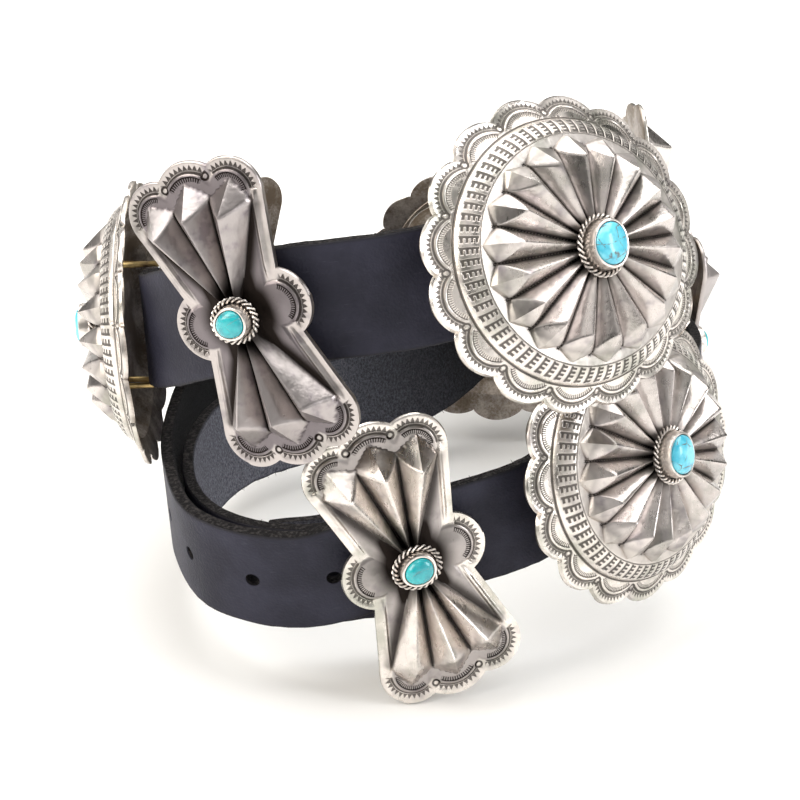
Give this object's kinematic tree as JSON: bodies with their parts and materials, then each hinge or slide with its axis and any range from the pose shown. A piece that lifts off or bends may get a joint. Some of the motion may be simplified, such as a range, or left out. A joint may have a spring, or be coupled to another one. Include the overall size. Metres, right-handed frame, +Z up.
{
  "type": "concho belt",
  "caption": "Leather belt strung with domed silver conchos and butterfly spacers set with turquoise, standing in a loose coil on its lower ornaments.",
  "frame": {"origin": "middle of the footprint, on the surface that the coiled belt stands on", "axes": "+Z up, -Y towards the open front of the coil, +Y along its longest extent"},
  "size_m": [0.1654, 0.2054, 0.1352],
  "materials": {
    "leather": "smooth black outer face, brushed flesh side",
    "silver": "tarnished, dark in the recesses",
    "turquoise": "polished stone with brown veins",
    "brass": "plain"
  },
  "bodies": {
    "root": {"strap": "leather", "buckle": "brass", "butterfly_1": "silver", "butterfly_stone_1": "turquoise", "butterfly_2": "silver", "butterfly_stone_2": "turquoise", "butterfly_3": "silver", "butterfly_stone_3": "turquoise", "butterfly_4": "silver", "butterfly_stone_4": "turquoise", "butterfly_5": "silver", "butterfly_stone_5": "turquoise", "concho_1": "silver", "concho_stone_1": "turquoise", "concho_2": "silver", "concho_stone_2": "turquoise", "concho_3": "silver", "concho_stone_3": "turquoise", "concho_4": "silver", "concho_stone_4": "turquoise", "concho_5": "silver", "concho_stone_5": "turquoise"}
  },
  "joints": []
}
